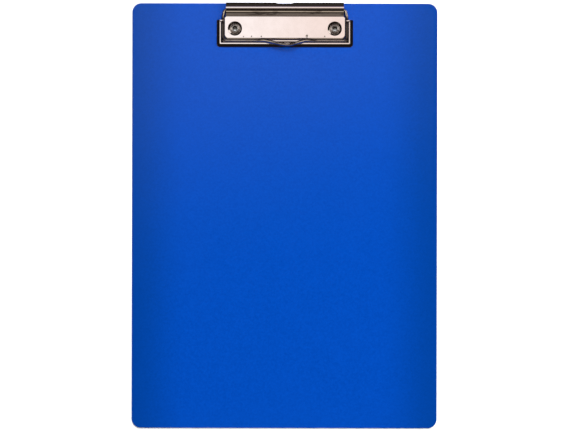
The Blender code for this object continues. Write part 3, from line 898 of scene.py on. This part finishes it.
def leg_step(inset):
    """The step inwards on a leg, whose outer wall is wider and whose ridge is narrower."""
    if inset < LEG_SHOULDER:
        return inset * (1 + LEG_EXTRA / LEG_SHOULDER)
    if inset < LEG_RIDGE_END:
        return inset + LEG_EXTRA * (LEG_RIDGE_END - inset) / (LEG_RIDGE_END - LEG_SHOULDER)
    return inset


def sweep_jaw(bm, loop):
    """Sweep a closed section of (step inwards, height) round the U and cap both ends."""
    rings = []
    for inset, height in loop:
        radius = max(JAW_CORNER - inset, JAW_INNER_CORNER)
        path = u_path(JAW_HALF_WIDTH - leg_step(inset), JAW_FRONT + inset, JAW_LEG_END, radius)
        rings.append(row_of(bm, [(x, y, height) for x, y in path]))
    for i, ring in enumerate(rings):
        bridge(bm, ring, rings[(i + 1) % len(rings)])
    for end in (0, -1):
        bm.faces.new([ring[end] for ring in rings])


def tab_corners():
    """The upper face of a tab that rises from the ridge and covers the wire."""
    root, bend, end = 0.0026, 0.0029, 0.0056
    return [
        (root, TOP + 0.0021, 0),
        (bend, TAB_TOP, 0.0006),
        (end, TAB_TOP, 0),
    ]


def add_wire_tabs(bm):
    """A tab folded over the wire at the end of each leg."""
    loop = sheet_loop(tab_corners(), TAB_THICKNESS)
    rear = JAW_LEG_END - CLEARANCE
    soft = 0.00008
    stations = ((0.0, soft), (soft * 0.4, soft * 0.3), (soft, 0.0))
    offsets = [(rear - TAB_WIDTH + step, shrink) for step, shrink in stations]
    offsets += [(rear - step, shrink) for step, shrink in reversed(stations)]
    centre = sum((Vector(p) for p in loop), Vector((0.0, 0.0))) / len(loop)
    for sign in (-1, 1):
        rows = []
        for y, shrink in offsets:
            scale = 1 - shrink / TAB_THICKNESS / 4
            points = [centre + (Vector(p) - centre) * scale for p in loop]
            rows.append(row_of(bm, [(sign * (JAW_HALF_WIDTH - inset), y, z) for inset, z in points]))
        for first, second in zip(rows, rows[1:]):
            bridge(bm, first, second, closed=True)
        bm.faces.new(rows[0])
        bm.faces.new(rows[-1])


def make_clamp_jaw(material):
    """The pressed jaw, a U whose gutter carries the wire, with a tab at each leg's end."""
    bm = bmesh.new()
    loop = sheet_loop(jaw_corners(), JAW_SHEET)
    sweep_jaw(bm, [tuple(p) for p in loop])
    add_wire_tabs(bm)
    return finish_piece("pressed_clamp_jaw", bm, "clamp_jaw", "clamp", material)


# ---- Hanger ------------------------------------------------------------------
def tip_points(steps):
    """The inner face of the hollowed tip in plan, from +X to -X."""
    points = []
    for i in range(steps + 1):
        t = 1 - 2 * i / steps
        hollow = HANGER_TIP_HOLLOW * (1 - t * t)
        points.append((t * HANGER_LIP_HALF_WIDTH, HANGER_TIP - HANGER_SHEET - hollow))
    return points


def hanger_side():
    """The +X side of the hanger's T, from beside its tip to its inner end."""
    radius = HANGER_CORNER
    shoulder = HANGER_TIP - HANGER_SHEET - radius
    side = arc(HANGER_HALF_WIDTH - radius, shoulder, radius, 90, 0, 10)[1:]
    side.append((HANGER_HALF_WIDTH, HANGER_EAR_REAR))
    side += arc(HANGER_EAR_HALF_WIDTH - radius, HANGER_EAR_REAR - radius, radius, 90, 0, 10)
    side += arc(HANGER_EAR_HALF_WIDTH - radius / 2, HANGER_INNER_END + radius / 2,
                radius / 2, 0, -90, 6)
    return side


def make_hanger(material):
    """A flat tongue with a hole, stop ears at its inner end and a turned-up lip."""
    height = TOP + CLEARANCE + HANGER_SHEET
    bm = bmesh.new()
    tip = row_of(bm, [(x, y, height) for x, y in tip_points(24)])
    side = hanger_side()
    left = row_of(bm, [(-x, y, height) for x, y in side])
    right = row_of(bm, [(x, y, height) for x, y in reversed(side)])
    hole = row_of(bm, [(x, y, height) for x, y in circle(0.0, HANGER_HOLE_Y, HANGER_HOLE_RADIUS)])
    fill(bm, tip + left + right, hole)
    bend = tip
    for share, narrow in ((0.5, 0.97), (1.0, 0.9)):
        top = height + (TOP + HANGER_LIP_HEIGHT - height) * share
        lip = row_of(bm, [(narrow * v.co.x, v.co.y, top) for v in tip])
        bridge(bm, bend, lip)
        bend = lip
    return finish_piece("pull_out_tongue", bm, "pull_out_hanger", "hanger",
                        material, 40, (sheet_thickness(HANGER_SHEET), round_rim(RIM_ROUND)))


# ---- Stage -------------------------------------------------------------------
def make_floor():
    """A plain pale floor just under the board."""
    size = 6.0
    height = BOARD_LOW.z - 0.0004
    bm = bmesh.new()
    row = row_of(bm, [(x * size, y * size, height)
                      for x, y in ((-1, -1), (1, -1), (1, 1), (-1, 1))])
    bm.faces.new(row)
    mesh = bpy.data.meshes.new("floor")
    bm.to_mesh(mesh)
    bm.free()
    floor = bpy.data.objects.new("floor", mesh)
    bpy.context.scene.collection.objects.link(floor)
    material, tree, shader = new_material("pale_floor")
    shader.inputs["Base Color"].default_value = (0.96, 0.96, 0.96, 1.0)
    shader.inputs["Roughness"].default_value = 0.9
    shader.inputs["Specular IOR Level"].default_value = 0.0
    mesh.materials.append(material)
    floor.visible_glossy = False


def tilt_degrees(tree, across, up):
    """The angle from straight up, towards one axis, in degrees."""
    angle = combine(tree, "ARCTAN2", across, up)
    return add_node(tree, "ShaderNodeMath", {0: angle}, operation="DEGREES").outputs["Value"]


def direction(azimuth, tilt):
    """A unit direction, turned from +X towards +Y and tilted from straight up, in degrees."""
    a = math.radians(azimuth)
    t = math.radians(tilt)
    return (math.sin(t) * math.cos(a), math.sin(t) * math.sin(a), math.cos(t))


# Small bright things in the room: direction, radius of the core and of the edge, colour.
GLINTS = (
    (direction(40, 66), 10.0, 18.0, (1.15, 1.08, 1.02)),
    (direction(168, 42), 12.0, 20.0, (1.25, 1.16, 1.05)),
    (direction(12, 42), 12.0, 20.0, (1.25, 1.16, 1.05)),
    (direction(-135, 80), 5.0, 12.0, (0.50, 0.44, 0.38)),
    (direction(-45, 80), 5.0, 12.0, (0.45, 0.38, 0.34)),
)


# Dim bands across the room, before and behind the softbox: limits in degrees and colour.
BANDS = (
    ((-23.0, -20.5, -17.0, -14.0), (0.17, 0.145, 0.125)),
    ((-52.0, -44.0, -34.0, -30.0), (0.46, 0.40, 0.32)),
    ((36.0, 44.0, 84.0, 92.0), (0.034, 0.030, 0.026)),
    ((20.0, 23.0, 31.0, 37.0), (0.16, 0.125, 0.185)),
)


def make_room():
    """A dim studio round the table: a long softbox overhead and behind, seen in the metal."""
    world = bpy.data.worlds.new("studio")
    bpy.context.scene.world = world
    world.use_nodes = True
    tree = world.node_tree
    background = tree.nodes["Background"]
    source = add_node(tree, "ShaderNodeTexCoord")
    axes = add_node(tree, "ShaderNodeSeparateXYZ", {"Vector": source.outputs["Generated"]})
    x, y, z = (axes.outputs[k] for k in "XYZ")
    along = tilt_degrees(tree, y, z)
    side = tilt_degrees(tree, x, z)
    slanted = combine(tree, "SUBTRACT", along, combine(tree, "MULTIPLY", side, 0.2))
    softbox = combine(tree, "MULTIPLY", window(tree, slanted, 1.5, 7.0, 18.0, 22.0),
                      window(tree, side, -26.0, -12.0, 6.0, 14.0))
    middle = window(tree, side, -50.0, -38.0, 38.0, 50.0)
    colour = (0.012, 0.009, 0.008)
    for limits, tone in BANDS:
        band = combine(tree, "MULTIPLY", window(tree, along, *limits), middle)
        colour = mix_colours(tree, band, colour, tone)
    colour = mix_colours(tree, window(tree, along, 92.0, 102.0, 150.0, 170.0),
                         colour, (0.04, 0.032, 0.030))
    for way, near, far, tint in GLINTS:
        toward = add_node(tree, "ShaderNodeVectorMath",
                          {0: source.outputs["Generated"], 1: way}, operation="DOT_PRODUCT")
        patch = spread(tree, toward.outputs["Value"], math.cos(math.radians(far)),
                       math.cos(math.radians(near)), 0.0, 1.0)
        colour = mix_colours(tree, patch, colour, tint)
    glow = mix_colours(tree, spread(tree, side, -4.0, 4.0, 0.0, 1.0),
                       (1.24, 1.20, 1.22), (1.10, 0.95, 0.90))
    colour = mix_colours(tree, softbox, colour, glow)
    path = add_node(tree, "ShaderNodeLightPath")
    colour = mix_colours(tree, path.outputs["Is Glossy Ray"], (0.0, 0.0, 0.0), colour)
    tree.links.new(colour, background.inputs["Color"])
    background.inputs["Strength"].default_value = 1.0
    world.cycles.sampling_method = "NONE"


# Soft lights round the table: name, place, size and power.
LIGHTS = (
    ("top_light", (0.0, 0.80, 2.40), 0.80, 22.0),
    ("rear_light", (0.05, 1.45, 2.40), 1.00, 74.0),
    ("front_light", (0.0, -1.60, 1.20), 1.20, 14.0),
    ("left_light", (-1.80, 0.0, 1.10), 1.20, 3.0),
    ("right_light", (1.80, 0.20, 1.10), 1.20, 36.0),
)


def add_area_light(name, place, size, power):
    """A soft square light that points at the board's middle and isn't itself mirrored."""
    light = bpy.data.lights.new(name, "AREA")
    light.shape = "SQUARE"
    light.size = size
    light.energy = power
    lamp = bpy.data.objects.new(name, light)
    bpy.context.scene.collection.objects.link(lamp)
    lamp.location = place
    lamp.rotation_euler = (-Vector(place)).to_track_quat("-Z", "Y").to_euler()
    lamp.visible_glossy = False
    lamp.visible_camera = False


CAMERA_LENS = 70.4
CAMERA_SENSOR = 36.0
CAMERA_PLACE = (0.00264, -0.0002, TOP + 0.8485)
CAMERA_TURN = 0.12


def make_camera():
    """An overhead camera, square to the board but for a slight turn."""
    data = bpy.data.cameras.new("camera")
    data.lens = CAMERA_LENS
    data.sensor_width = CAMERA_SENSOR
    data.clip_start = 0.01
    camera = bpy.data.objects.new("camera", data)
    bpy.context.scene.collection.objects.link(camera)
    camera.location = CAMERA_PLACE
    camera.rotation_euler = (0.0, 0.0, math.radians(CAMERA_TURN))
    bpy.context.scene.camera = camera


# ---- Assembly ----------------------------------------------------------------
plastic = board_material()
nickel = nickel_material()
wire_steel = wire_material()
rivet_steel = rivet_material()

make_board(plastic)
make_base_plate(nickel)
make_rivet("tubular_rivet_left", "rivet_left", -RIVET_X, rivet_steel)
make_rivet("tubular_rivet_right", "rivet_right", RIVET_X, rivet_steel)
make_wire_bail(wire_steel)
make_clamp_jaw(nickel)
make_hanger(nickel)

make_floor()
make_room()
for lamp_row in LIGHTS:
    add_area_light(*lamp_row)
make_camera()
bpy.context.scene.view_settings.view_transform = "Standard"
